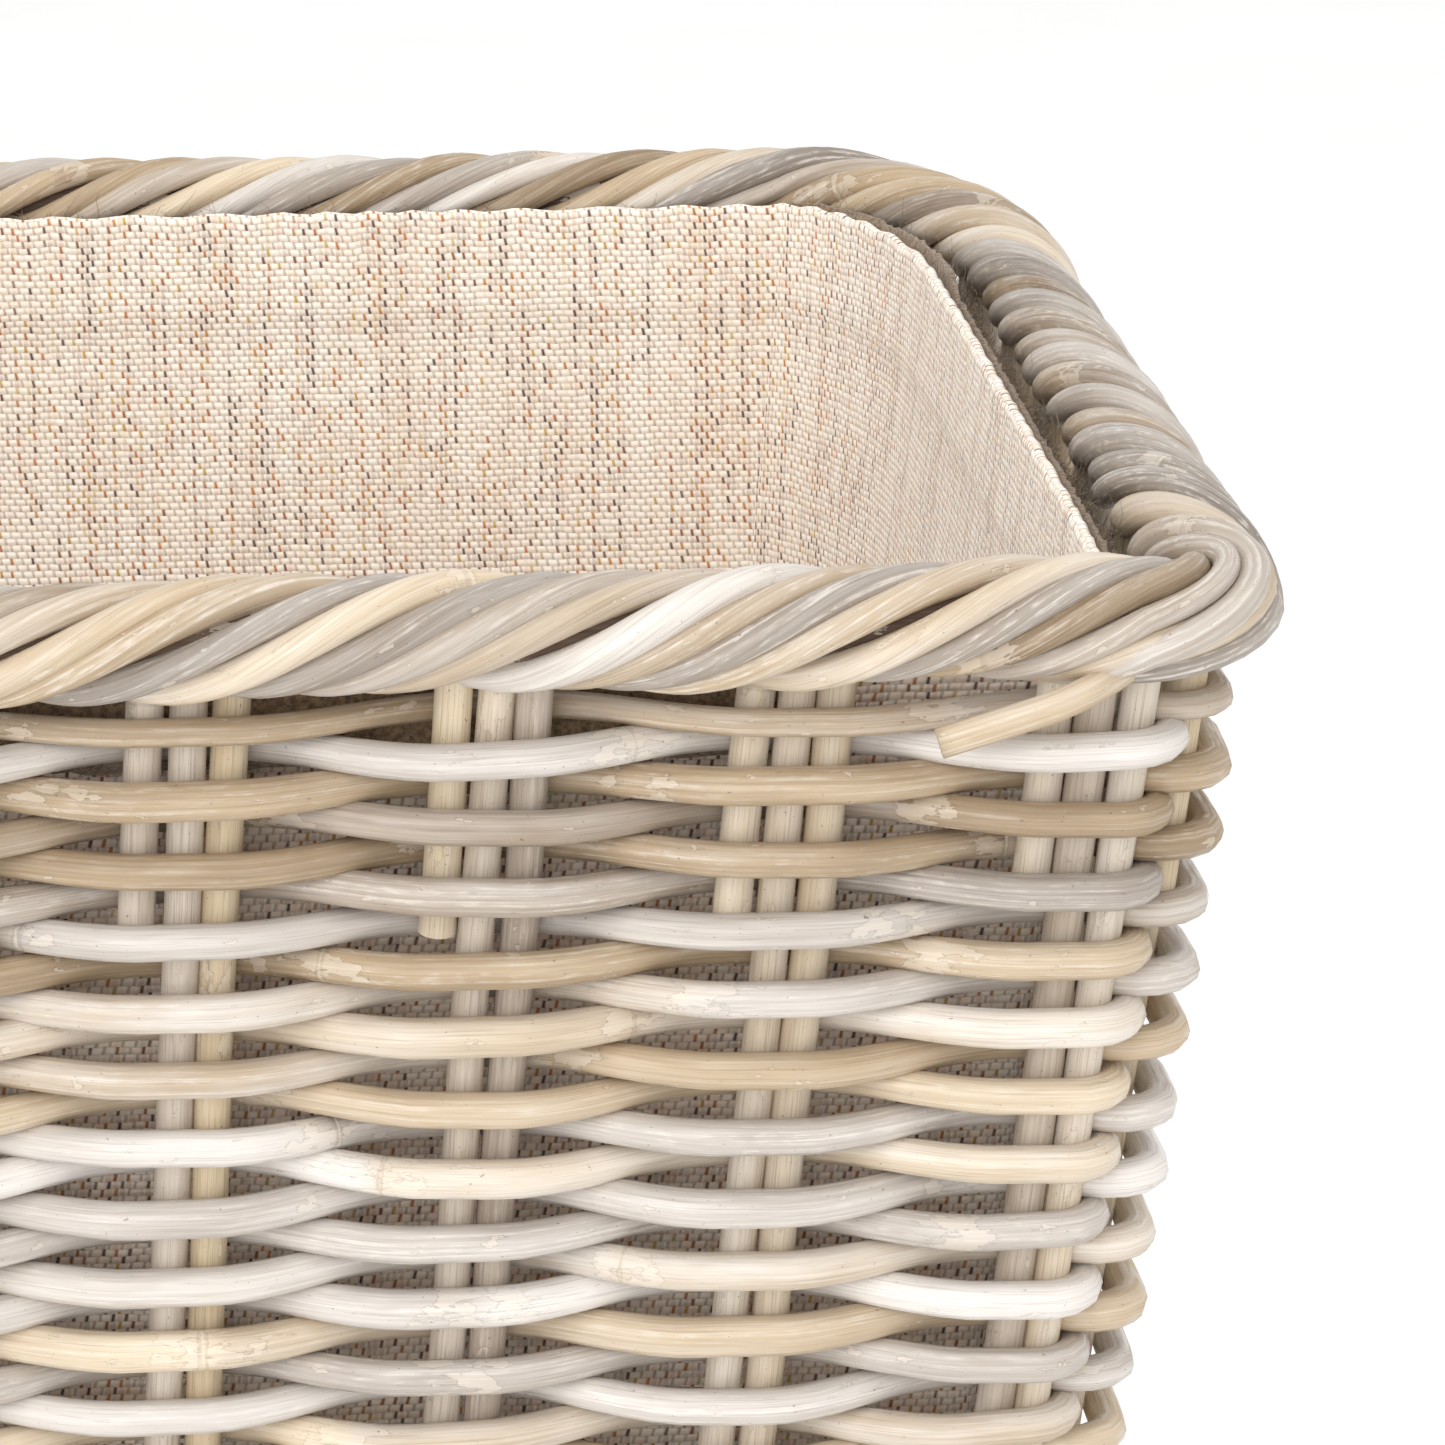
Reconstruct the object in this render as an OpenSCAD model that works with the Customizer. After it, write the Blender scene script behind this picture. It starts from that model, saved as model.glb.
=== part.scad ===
// Rectangular laundry basket woven from grey-washed rattan, with a removable cloth liner.
// Millimetres, +Z up, +X to the right, +Y to the back. The origin is at the centre of the foot, on the floor.
// The walls flare outwards: they are widest at the rolled rim and narrowest at the foot border.

/* [Basket] */
// Height from the floor to the top of the rim
height = 500; // [400:10:600]
// Inward lean of every wall, in millimetres for each millimetre down
flare = 0.108; // [0.08:0.004:0.12]
// Spacing of the stake groups at the rim
group_pitch = 53.4; // [50:0.2:58]
// Number of stake groups on the front; the back has two fewer
groups_long = 11; // [9:2:13]
// Number of stake groups on the straight stretch of the left wall, and of the right one
groups_side = 5; // [3:1:5]
// Distance from the last stake group on the front to the side wall
corner_gap_long = 17.4; // [17:0.1:20]
// Distance from the first stake group on a side to the front wall
corner_gap_short = 15.8; // [15.8:0.1:20]
// Distance from the middle to the front and back walls, along the stakes at the rim
half_depth = 180; // [180:1:200]
// Length along the back wall of each back corner, which turns in a long quarter ellipse
back_corner_x = 40; // [40:1:46]
// Length along the side wall of each back corner
back_corner_y = 90; // [70:1:94]

/* [Rattan] */
// Diameter of an upright stake
stake_d = 6.4; // [5:0.1:6.6]
// Diameter of a weaver cane
weaver_d = 6.5; // [5:0.1:6.6]
// Height from one woven course to the next
course_pitch = 6.7; // [6:0.05:7.2]
// Diameter of the thin binding course under the rim
binder_d = 4.2; // [3:0.1:5]
// Length of the short third stake of each group, below the rim
bye_stake_len = 45; // [30:1:80]

/* [Borders] */
// Thickness of the rolled rim
rim_d = 22.5; // [16:0.5:24]
// How far the middle of the rim stands outside the stakes
rim_out = 4; // [2:0.5:6]
// Radius of the rim's and the foot's front corners, along their middle
rim_corner_r = 16; // [13:0.5:22]
// Thickness of the foot border
foot_d = 20; // [14:0.5:22]
// Height of the middle of the foot border above the floor
foot_z = 8; // [7.5:0.5:9]
// Radius of the woven walls' front corners, along the stakes
wall_corner_r = 10; // [8:0.5:12]

/* [Liner] */
// Thickness of the cloth wall, with its lining
cloth_t = 2; // [1:0.2:3]
// How far the cloth wall lies inside the stakes
liner_in = 13; // [13:0.1:14]
// Height of the liner's top edge above the middle of the rim
liner_top_up = 1.5; // [-4:0.5:5]
// Depth of the turned hem at the liner's top edge
hem_h = 24; // [15:1:40]
// Thickness that the turned hem adds
hem_t = 1.6; // [0.8:0.2:2]
// Width of the hook-and-loop tape
tape_h = 24; // [16:1:30]
// Thickness of each half of the tape
tape_t = 1.2; // [0.8:0.1:1.2]

/* [Hidden] */

fit_gap = 0.25;
end_gap = 0.1;
stake_step = stake_d + 0.4;
rod_fn = 24;
rim_z = height - rim_d / 2;
stake_top_z = rim_z - rim_d / 2 - 0.5;
stake_foot_z = foot_z + foot_d / 2 + 0.3;
last_course_z = rim_z - 23.25;
lowest_course_z = stake_foot_z + weaver_d / 2 + 1;
courses = floor((last_course_z - lowest_course_z) / course_pitch) + 1;
first_course_z = last_course_z - (courses - 1) * course_pitch;
binder_z = last_course_z + (weaver_d + binder_d) / 2 + 0.3;
weave_offset = stake_d / 2 + fit_gap + weaver_d / 2;
weave_face = weave_offset + weaver_d / 2;
top_half_x = (groups_long - 1) * group_pitch / 2 + corner_gap_long;
top_half_y = half_depth;
rim_half_x = top_half_x + rim_out;
rim_half_y = top_half_y + rim_out;
foot_half_x = half_x(foot_z);
foot_half_y = half_y(foot_z);
base_stick_z = 13;
base_stick_d = 6;
base_step = weaver_d / 2 + base_stick_d / 2 + fit_gap;
liner_floor_z = base_stick_z + base_step + weaver_d / 2 + 0.4;
liner_top_z = rim_z + liner_top_up;
tape_top_z = liner_top_z - 6;
tape_share = 0.82;
fan_power = 0.7;
corner_t = 4.3;
front_steps = 8;
back_steps = 14;
corner_groups = [12, 56];
roll_sides = 20;

// Half-width and half-depth of the ring of stakes at a height
function half_x(z) = top_half_x - flare * (rim_z - z);
function half_y(z) = top_half_y - flare * (rim_z - z);

// Sideways shift of a stake group from the rim down to a height: the fan of stakes closes towards the foot
function fan_shift(along, half, z) = sign(along) * flare * pow(abs(along) / half, fan_power) * (rim_z - z);

// A point of the ring of stakes in the right corner at the front (sy < 0) or the back, at a height.
// turn goes from 0 at the side wall to 90, and offset is a distance outside the ring
function corner_point(sy, z, offset, turn) = let (
    radii = sy < 0 ? [wall_corner_r, wall_corner_r] : [back_corner_x, back_corner_y],
    outward = [cos(turn) / radii[0], sin(turn) / radii[1]],
    across = [half_x(z) - radii[0] * (1 - cos(turn)), half_y(z) - radii[1] * (1 - sin(turn))]
        + offset * outward / norm(outward)
) [across[0], sy * across[1]];

// A round cane from point a to point b
module cane(a, b, d) {
    v = b - a;
    length = norm(v);
    translate(a)
        rotate([0, acos(v[2] / length), atan2(v[1], v[0])])
            cylinder(h = length, d = d, $fn = rod_fn);
}

// Turns the front-wall frame to one of the four walls: 0 front, 1 right, 2 back, 3 left
module on_wall(wall) {
    rotate([0, 0, 90 * wall])
        children();
}

// Half-length of a wall, and its distance from the centre, at a height
function wall_half(wall, z) = wall % 2 == 0 ? half_x(z) : half_y(z);
function wall_dist(wall, z) = wall % 2 == 0 ? half_y(z) : half_x(z);

// Where the straight stretch of a wall starts and ends, front_r from the front corners
function wall_span(wall, z, front_r) = let (
    near = wall_half(wall, z) - front_r,
    far = wall_half(wall, z) - (wall % 2 == 0 ? back_corner_x : back_corner_y)
) [wall < 2 ? -near : -far, wall % 3 == 0 ? near : far];

// Places of the stake groups on the straight stretch of a wall, at the rim
function group_places(wall) = let (
    first = top_half_y - corner_gap_short,
    n = groups_long - wall
) wall % 2 == 1
    ? [for (g = [0 : groups_side - 1]) (wall == 1 ? -1 : 1) * (first - g * group_pitch)]
    : [for (g = [0 : n - 1]) (g - (n - 1) / 2) * group_pitch];

// One stake of the group at a distance along a wall, measured at the rim, and beside the group's middle
module stake(wall, along, beside, low_z, high_z, d) {
    top = wall_half(wall, rim_z);
    low = [along + beside - fan_shift(along, top, low_z), -wall_dist(wall, low_z), low_z];
    high = [along + beside - fan_shift(along, top, high_z), -wall_dist(wall, high_z), high_z];
    cane(low, high, d);
}

// One stake of a group in the back right corner, beside the group's middle
module corner_stake(turn, beside, low_z, high_z, d) {
    forward = [-back_corner_x * sin(turn), back_corner_y * cos(turn)];
    shift = beside * forward / norm(forward);
    low = corner_point(1, low_z, 0, turn) + shift;
    high = corner_point(1, high_z, 0, turn) + shift;
    cane([low[0], low[1], low_z], [high[0], high[1], high_z], d);
}

// Stakes at the given distances beside the middle of every group of one wall. A side wall holds the groups
// of its back corner too
module stake_set(wall, besides, low_z, d) {
    on_wall(wall)
        for (along = group_places(wall), beside = besides)
            stake(wall, along, beside, low_z, stake_top_z, d);
    if (wall % 2 == 1)
        mirror([wall == 3 ? 1 : 0, 0, 0])
            for (turn = corner_groups, beside = besides)
                corner_stake(turn, wall == 3 ? -beside : beside, low_z, stake_top_z, d);
}

// The two full-height stakes of every group: one on the group's middle and one to its right
module stakes(wall) {
    color("burlywood")
        stake_set(wall, [0, stake_step], stake_foot_z, stake_d);
}

// The short third stakes that stand to the left of each group's middle, under the rim
module bye_stakes(wall) {
    color("tan")
        stake_set(wall, [-stake_step], stake_top_z - bye_stake_len, stake_d - 0.2);
}

// A level cane along one wall, offset outwards from the stakes
module course(wall, z, offset, d) {
    span = wall_span(wall, z, wall_corner_r);
    y = -wall_dist(wall, z) - offset;
    cane([span[0] + end_gap, y, z], [span[1] - end_gap, y, z], d);
}

// Courses on the outside (first = 0) or the inside (first = 1) of the stakes
module weave(wall, first, offset) {
    color(first == 0 ? "tan" : "silver")
        on_wall(wall)
            for (k = [first : 2 : courses - 1])
                course(wall, first_course_z + k * course_pitch, offset, weaver_d);
}

// A solid that turns a corner. Its section lists points as [distance outside the stakes, height, height
// of the ring of stakes that it follows]
module turned(sx, sy, section) {
    steps = sy < 0 ? front_steps : back_steps;
    points = [for (i = [0 : steps], p = section) concat(corner_point(sy, p[2], p[0], 90 * i / steps), [p[1]])];
    mirror([sx < 0 ? 1 : 0, 0, 0])
        polyhedron(points = points, faces = turned_faces(len(section), steps, sy));
}

// Faces round a turned solid whose section has n points. sy gives the way that its rings run
function turned_faces(n, steps, sy) = let (
    sides = [for (i = [0 : steps - 1], j = [0 : n - 1]) let (k = (j + 1) % n)
        [i * n + j, i * n + k, (i + 1) * n + k, (i + 1) * n + j]],
    ends = [[for (j = [0 : n - 1]) n - 1 - j], [for (j = [0 : n - 1]) steps * n + j]],
    faces = concat(sides, ends)
) sy < 0 ? [for (f = faces) [for (j = [0 : len(f) - 1]) f[len(f) - 1 - j]]] : faces;

// Section of a shell that leans with the walls
function shell_section(outer, thickness, low_z, high_z) = [
    [outer, low_z, low_z], [outer, high_z, high_z],
    [outer - thickness, high_z, high_z], [outer - thickness, low_z, low_z]
];

// Section of a roll that lies on the ring of stakes at a height, and stays above the floor
function roll_section(out, z, d) = [
    for (i = [roll_sides - 1 : -1 : 0]) let (a = 360 * i / roll_sides)
        [out + d / 2 * cos(a), max(0, z + d / 2 * sin(a)), z]
];

// The courses where they wrap round a corner, as one leaning shell outside the stakes
module weave_corner(sx, sy) {
    color("tan")
        turned(sx, sy, shell_section(weave_face, corner_t,
            first_course_z - weaver_d / 2, last_course_z + weaver_d / 2));
}

// The thin course that closes the weave under the rim
module binding_course() {
    color("wheat")
        for (wall = [0 : 3])
            on_wall(wall)
                course(wall, binder_z, stake_d / 2 + fit_gap + binder_d / 2, binder_d);
}

// Straight stretch of the rolled rim along one wall
module rim_side(wall) {
    span = wall_span(wall, rim_z, rim_corner_r - rim_out);
    y = -wall_dist(wall, rim_z) - rim_out;
    color("rosybrown")
        on_wall(wall)
            cane([span[0] + end_gap, y, rim_z], [span[1] - end_gap, y, rim_z], rim_d);
}

// A front corner of the rolled rim; turn is the angle at which its quarter starts
module rim_corner_front(sx, turn) {
    color("rosybrown")
        translate([sx * (rim_half_x - rim_corner_r), -(rim_half_y - rim_corner_r), rim_z])
            rotate([0, 0, turn])
                rotate_extrude(angle = 90, $fn = 48)
                    translate([rim_corner_r, 0])
                        circle(d = rim_d);
}

// A back corner of the rolled rim
module rim_corner_back(sx) {
    color("rosybrown")
        turned(sx, 1, roll_section(rim_out, rim_z, rim_d));
}

// Section of the foot border: a round roll with a flat worn on its underside
module foot_section() {
    intersection() {
        translate([0, foot_z])
            circle(d = foot_d, $fn = 48);
        translate([-foot_d, 0])
            square([2 * foot_d, 2 * foot_d]);
    }
}

// Straight stretch of the foot border along one wall
module foot_side(wall) {
    span = wall_span(wall, foot_z, rim_corner_r);
    y = -wall_dist(wall, foot_z);
    color("peru")
        on_wall(wall)
            translate([span[0] + end_gap, y, 0])
                rotate([90, 0, 90])
                    linear_extrude(span[1] - span[0] - 2 * end_gap)
                        foot_section();
}

// A front corner of the foot border; turn is the angle at which its quarter starts
module foot_corner_front(sx, turn) {
    color("peru")
        translate([sx * (foot_half_x - rim_corner_r), -(foot_half_y - rim_corner_r), 0])
            rotate([0, 0, turn])
                rotate_extrude(angle = 90, $fn = 48)
                    translate([rim_corner_r, 0])
                        foot_section();
}

// A back corner of the foot border
module foot_corner_back(sx) {
    color("peru")
        turned(sx, 1, roll_section(0, foot_z, foot_d));
}

// How far from the middle the inside of the foot reaches one way, at a distance from the middle the other
// way. The half sizes and the corner's lengths are given for the first way, then for the second
function foot_reach(half, r, other_half, other_r, other, inset) = let (
    past = max(0, other - (other_half - other_r)) / (other_r - inset)
) half - inset - (r - inset) * (1 - sqrt(max(0, 1 - past * past)));

// Sticks across the bottom, from the front foot border to the back one
module base_sticks() {
    inset = foot_d / 2 + 2;
    step = 2 * (foot_half_x - foot_d) / (groups_long - 1);
    color("burlywood")
        for (i = [0 : groups_long - 1], side = [-1, 1]) {
            x = (i - (groups_long - 1) / 2) * step + side * (base_stick_d / 2 + 0.2);
            outer = abs(x) + base_stick_d / 2;
            back = foot_reach(foot_half_y, back_corner_y, foot_half_x, back_corner_x, outer, inset);
            cane([x, inset - foot_half_y, base_stick_z], [x, back, base_stick_z], base_stick_d);
        }
}

// Canes along the bottom, above (side = 1) or below (side = -1) the sticks
module base_weave(side) {
    inset = foot_d / 2 + 2;
    n = floor((foot_half_y - foot_d / 2 - weaver_d) / course_pitch);
    z = base_stick_z + side * base_step;
    color(side > 0 ? "tan" : "silver")
        for (k = [-n : n])
            if ((k + n) % 2 == (side > 0 ? 0 : 1)) {
                outer = k * course_pitch + weaver_d / 2;
                reach = foot_reach(foot_half_x, back_corner_x, foot_half_y, back_corner_y, outer, inset);
                cane([-reach, k * course_pitch, z], [reach, k * course_pitch, z], weaver_d);
            }
}

// A flat panel that follows the lean of a wall.
// inset is its outer face's distance inside the stakes, trim shortens it at both ends
module wall_leaf(wall, low_z, high_z, inset, thickness, trim, share = 1) {
    function ring(z) = let (
        span = wall_span(wall, z, 0),
        reach = (wall_half(wall, z) - trim) * share,
        start = max(-reach, span[0] + end_gap),
        end = min(reach, span[1] - end_gap),
        outer = -wall_dist(wall, z) + inset,
        inner = outer + thickness
    ) [[start, outer, z], [end, outer, z], [end, inner, z], [start, inner, z]];
    on_wall(wall)
        polyhedron(
            points = concat(ring(low_z), ring(high_z)),
            faces = [[0, 1, 2, 3], [7, 6, 5, 4], [0, 4, 5, 1], [1, 5, 6, 2], [2, 6, 7, 3], [3, 7, 4, 0]]
        );
}

// Ends of the side panels stop at the inner faces of the front and back panels
function leaf_trim(wall, inset, thickness) = wall % 2 == 0 ? inset : inset + thickness + end_gap;

// One cloth wall of the liner
module liner_wall(wall) {
    color("antiquewhite")
        wall_leaf(wall, liner_floor_z, liner_top_z, liner_in, cloth_t, leaf_trim(wall, liner_in, cloth_t));
}

// The turned hem inside the top edge of one cloth wall
module liner_hem(wall) {
    inset = liner_in + cloth_t + end_gap;
    color("linen")
        wall_leaf(wall, liner_top_z - hem_h, liner_top_z, inset, hem_t,
            leaf_trim(wall, inset, hem_t) + end_gap);
}

// A back corner of the liner: its cloth wall, thicker at the top where the hem is turned in
module liner_corner(sx) {
    inside = -liner_in - cloth_t;
    hem_low_z = liner_top_z - hem_h;
    color("antiquewhite")
        turned(sx, 1, [
            [-liner_in, liner_floor_z, liner_floor_z], [-liner_in, liner_top_z, liner_top_z],
            [inside - hem_t, liner_top_z, liner_top_z], [inside - hem_t, hem_low_z, hem_low_z],
            [inside, hem_low_z, hem_low_z], [inside, liner_floor_z, liner_floor_z]
        ]);
}

// The liner's bottom, between its walls
module liner_base() {
    inset = liner_in + cloth_t + end_gap;
    x = half_x(liner_floor_z) - inset;
    y = half_y(liner_floor_z) - inset;
    back = [for (i = [0 : back_steps]) corner_point(1, liner_floor_z, -inset - end_gap, 90 * i / back_steps)];
    left_back = [for (i = [back_steps : -1 : 0]) [-back[i][0], back[i][1]]];
    color("antiquewhite")
        translate([0, 0, liner_floor_z])
            linear_extrude(cloth_t)
                polygon(concat([[-x, -y], [x, -y]], back, left_back));
}

// A strip of tape along one wall, inset inside the stakes; on a side wall it goes on round the back corner
module tape(wall, inset) {
    low_z = tape_top_z - tape_h;
    wall_leaf(wall, low_z, tape_top_z, inset, tape_t, liner_in, tape_share);
    if (wall % 2 == 1)
        turned(wall == 3 ? -1 : 1, 1, shell_section(-inset, tape_t, low_z, tape_top_z));
}

// Hook half of the tape, sewn to the outside of one cloth wall
module hook_tape(wall) {
    color("dimgray")
        tape(wall, liner_in - end_gap - tape_t);
}

// Loop half of the tape, fixed to the inside of the weave
module loop_tape(wall) {
    color("saddlebrown")
        tape(wall, weave_face + end_gap);
}

foot_side(0);  // foot_front
foot_side(2);  // foot_back
foot_side(3);  // foot_left
foot_side(1);  // foot_right
foot_corner_front(-1, 180);  // foot_corner_front_left
foot_corner_front(1, 270);  // foot_corner_front_right
foot_corner_back(-1);  // foot_corner_back_left
foot_corner_back(1);  // foot_corner_back_right
base_sticks();
base_weave(1);  // base_weave_upper
base_weave(-1);  // base_weave_lower
stakes(0);  // stakes_front
stakes(2);  // stakes_back
stakes(3);  // stakes_left
stakes(1);  // stakes_right
bye_stakes(0);  // bye_stakes_front
bye_stakes(2);  // bye_stakes_back
bye_stakes(3);  // bye_stakes_left
bye_stakes(1);  // bye_stakes_right
weave(0, 0, weave_offset);  // weave_outer_front
weave(2, 0, weave_offset);  // weave_outer_back
weave(3, 0, weave_offset);  // weave_outer_left
weave(1, 0, weave_offset);  // weave_outer_right
weave(0, 1, -weave_offset);  // weave_inner_front
weave(2, 1, -weave_offset);  // weave_inner_back
weave(3, 1, -weave_offset);  // weave_inner_left
weave(1, 1, -weave_offset);  // weave_inner_right
weave_corner(-1, -1);  // weave_corner_front_left
weave_corner(1, -1);  // weave_corner_front_right
weave_corner(-1, 1);  // weave_corner_back_left
weave_corner(1, 1);  // weave_corner_back_right
binding_course();
rim_side(0);  // rim_front
rim_side(2);  // rim_back
rim_side(3);  // rim_left
rim_side(1);  // rim_right
rim_corner_front(-1, 180);  // rim_corner_front_left
rim_corner_front(1, 270);  // rim_corner_front_right
rim_corner_back(-1);  // rim_corner_back_left
rim_corner_back(1);  // rim_corner_back_right
loop_tape(0);  // loop_tape_front
loop_tape(2);  // loop_tape_back
loop_tape(3);  // loop_tape_left
loop_tape(1);  // loop_tape_right
liner_wall(0);  // liner_front
liner_wall(2);  // liner_back
liner_wall(3);  // liner_left
liner_wall(1);  // liner_right
liner_base();
liner_corner(-1);  // liner_corner_back_left
liner_corner(1);  // liner_corner_back_right
liner_hem(0);  // liner_hem_front
liner_hem(2);  // liner_hem_back
liner_hem(3);  // liner_hem_left
liner_hem(1);  // liner_hem_right
hook_tape(0);  // hook_tape_front
hook_tape(2);  // hook_tape_back
hook_tape(3);  // hook_tape_left
hook_tape(1);  // hook_tape_right
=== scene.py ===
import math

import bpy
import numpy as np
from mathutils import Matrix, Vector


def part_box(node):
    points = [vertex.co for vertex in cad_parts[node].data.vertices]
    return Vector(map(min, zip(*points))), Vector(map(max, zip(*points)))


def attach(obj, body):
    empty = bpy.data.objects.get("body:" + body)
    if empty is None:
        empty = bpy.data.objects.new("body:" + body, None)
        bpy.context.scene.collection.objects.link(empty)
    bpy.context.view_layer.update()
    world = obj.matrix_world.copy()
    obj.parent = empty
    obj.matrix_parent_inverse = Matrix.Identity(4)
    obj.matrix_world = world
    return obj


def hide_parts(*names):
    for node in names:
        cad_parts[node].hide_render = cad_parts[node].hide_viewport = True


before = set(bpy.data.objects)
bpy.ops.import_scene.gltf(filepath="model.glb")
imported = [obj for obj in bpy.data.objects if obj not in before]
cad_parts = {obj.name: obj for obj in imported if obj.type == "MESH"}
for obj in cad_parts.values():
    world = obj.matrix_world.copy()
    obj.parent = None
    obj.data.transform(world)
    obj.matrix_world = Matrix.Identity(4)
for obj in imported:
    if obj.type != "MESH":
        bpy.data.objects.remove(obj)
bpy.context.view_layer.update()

# Looks of a rattan laundry basket with drawn-out back corners: every cane is its own bent rod, woven
# over and under the stakes, with a twisted rim and a slub-cloth liner. Lengths are in metres, in the
# CAD frame.

MM = 0.001


# ---------------------------------------------------------------- sizes, from the frame

def node_box(node):
    low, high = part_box(node)
    return np.array(low), np.array(high)


def middle(node):
    low, high = node_box(node)
    return (low + high) / 2


WALLS = ("front", "right", "back", "left")
CORNERS = ("front_left", "front_right", "back_left", "back_right")

rim_low, rim_high = node_box("rim_front")
RIM_R = (rim_high[2] - rim_low[2]) / 2
RIM_Z = middle("rim_front")[2]
RIM_OUT = 4 * MM
TOP_HALF = np.array([middle("rim_right")[0], -middle("rim_front")[1]]) - RIM_OUT
foot_low, foot_high = node_box("foot_front")
FOOT_R = (foot_high[1] - foot_low[1]) / 2
FOOT_Z = foot_high[2] - FOOT_R
FOOT_HALF = np.array([middle("foot_right")[0], -middle("foot_front")[1]])
ROLL_CORNER_R = 16 * MM

FLARE = (TOP_HALF[1] - FOOT_HALF[1]) / (RIM_Z - FOOT_Z)
WALL_CORNER_R = 10 * MM
BACK_CORNER = np.array([40, 90]) * MM
GROUP_PITCH = 53.4 * MM
GROUPS_FRONT = 11
GROUPS_BACK = 9
GROUPS_SIDE = 5
CORNER_GROUPS = (12, 56)
FIRST_SIDE_GROUP = TOP_HALF[1] - 15.8 * MM
FAN_POWER = 0.7

STAKE_R = 3.45 * MM
STAKE_STEP = 7.3 * MM
WEAVER_R = 3.55 * MM
FIRST_Z = node_box("weave_outer_front")[0][2] + 3.25 * MM
LAST_Z = node_box("weave_outer_front")[1][2] - 3.25 * MM
COURSES = 67
BINDER_Z = middle("binding_course")[2]
BINDER_R = 2.6 * MM

LINER_TOP_Z = node_box("liner_front")[1][2]
LINER_FLOOR_Z = node_box("liner_base")[0][2]
LINER_IN = 13 * MM
LINER_CORNER_R = 20 * MM
CLOTH_T = 2 * MM
HEM_H = 24 * MM
HEM_T = 0.5 * MM
TAPE_TOP_Z = node_box("hook_tape_front")[1][2]
TAPE_H = 24 * MM
LOOP_TAPE_IN = 10.05 * MM
HOOK_TAPE_IN = LINER_IN - 1.3 * MM

CORNER_SAMPLES = 61
FINE_SAMPLES = 8000
CORNER_REACH = 16 * MM
DRIFT_WAVES = 5
SCAR_REACH = 20 * MM


def plane_half(z):
    """Half width and half depth of the ring of stakes at a height."""
    return TOP_HALF - FLARE * (RIM_Z - z)


def fan_shift(along, half, z):
    """How far a stake group leans towards the wall's middle, from the rim down to a height."""
    return math.copysign(FLARE * (abs(along) / half) ** FAN_POWER * (RIM_Z - z), along)


# ---------------------------------------------------------------- paths round the basket

class Loop:
    """A ring seen from above, run anticlockwise from the middle of the front: it turns tight round
    corners at the front and drawn-out quarter ellipses at the back. offset lies it outside half."""

    def __init__(self, half, front_r, offset=0.0):
        front = np.array([front_r, front_r])
        xy = [np.array([[0.0, -half[1]]])]
        outward = [np.array([[0.0, -1.0]])]
        self.angles = np.linspace(0, math.pi / 2, CORNER_SAMPLES)
        for k, (side_x, side_y) in enumerate(((1, -1), (1, 1), (-1, 1), (-1, -1))):
            radii = front if side_y < 0 else BACK_CORNER
            angle = self.angles + (k - 1) * math.pi / 2
            turn = np.column_stack([np.cos(angle), np.sin(angle)])
            xy.append((half - radii) * (side_x, side_y) + radii * turn)
            outward.append(turn / radii / np.linalg.norm(turn / radii, axis=1)[:, None])
        xy.append(xy[0])
        outward.append(outward[0])
        self.outward = np.concatenate(outward)
        self.xy = np.concatenate(xy) + offset * self.outward
        step = np.linalg.norm(np.diff(self.xy, axis=0), axis=1)
        self.marks = np.concatenate([[0], np.cumsum(step)])
        self.length = self.marks[-1]
        corner_ends = [self.marks[[1 + k * CORNER_SAMPLES, (k + 1) * CORNER_SAMPLES]] for k in range(4)]
        self.ends = np.concatenate([[0], *corner_ends, [self.length]])
        self.starts = np.array([0, front_r - half[1], BACK_CORNER[0] - half[0], BACK_CORNER[1] - half[1]])

    def on_wall(self, wall, along):
        """Distance along the loop to a place on a wall's straight stretch, measured from its middle."""
        return self.ends[2 * wall] + along - self.starts[wall]

    def in_corner(self, corner, angle):
        """Distance along the loop to an angle of a corner: 0 front right, then anticlockwise."""
        first = 1 + corner * CORNER_SAMPLES
        return np.interp(angle, self.angles, self.marks[first:first + CORNER_SAMPLES])

    def at(self, s):
        """Points and outward normals, as (n, 2) arrays, at distances s along the loop."""
        s = np.mod(s, self.length)
        xy = np.column_stack([np.interp(s, self.marks, self.xy[:, i]) for i in range(2)])
        outward = np.column_stack([np.interp(s, self.marks, self.outward[:, i]) for i in range(2)])
        return xy, outward / np.linalg.norm(outward, axis=1)[:, None]

    def near_corner(self, s, reach, corners=(0, 1, 2, 3)):
        """Whether each distance s lies in a corner or within reach of one."""
        near = np.zeros(np.shape(s), bool)
        for k in corners:
            near |= (s > self.ends[2 * k + 1] - reach) & (s < self.ends[2 * k + 2] + reach)
        return near

    def on_side(self, s):
        """Whether each distance s lies on a side wall, from its front corner to the back wall."""
        return ((s > self.ends[2]) & (s < self.ends[4])) | ((s > self.ends[5]) & (s < self.ends[7]))

    def places(self, pitch):
        """Distances along the loop so that they lie pitch(s) apart, and round it a whole number of times."""
        fine = np.linspace(0, self.length, FINE_SAMPLES)
        density = 1 / pitch(fine)
        total = np.concatenate([[0], np.cumsum((density[1:] + density[:-1]) / 2 * np.diff(fine))])
        count = int(round(total[-1]))
        return np.interp(np.arange(count) / count * total[-1], total, fine)

    def spread(self, step, corner_step):
        """Distances along the loop, a step apart on the walls and closer near the corners."""
        return self.places(lambda s: np.where(self.near_corner(s, CORNER_REACH), corner_step, step))


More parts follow.
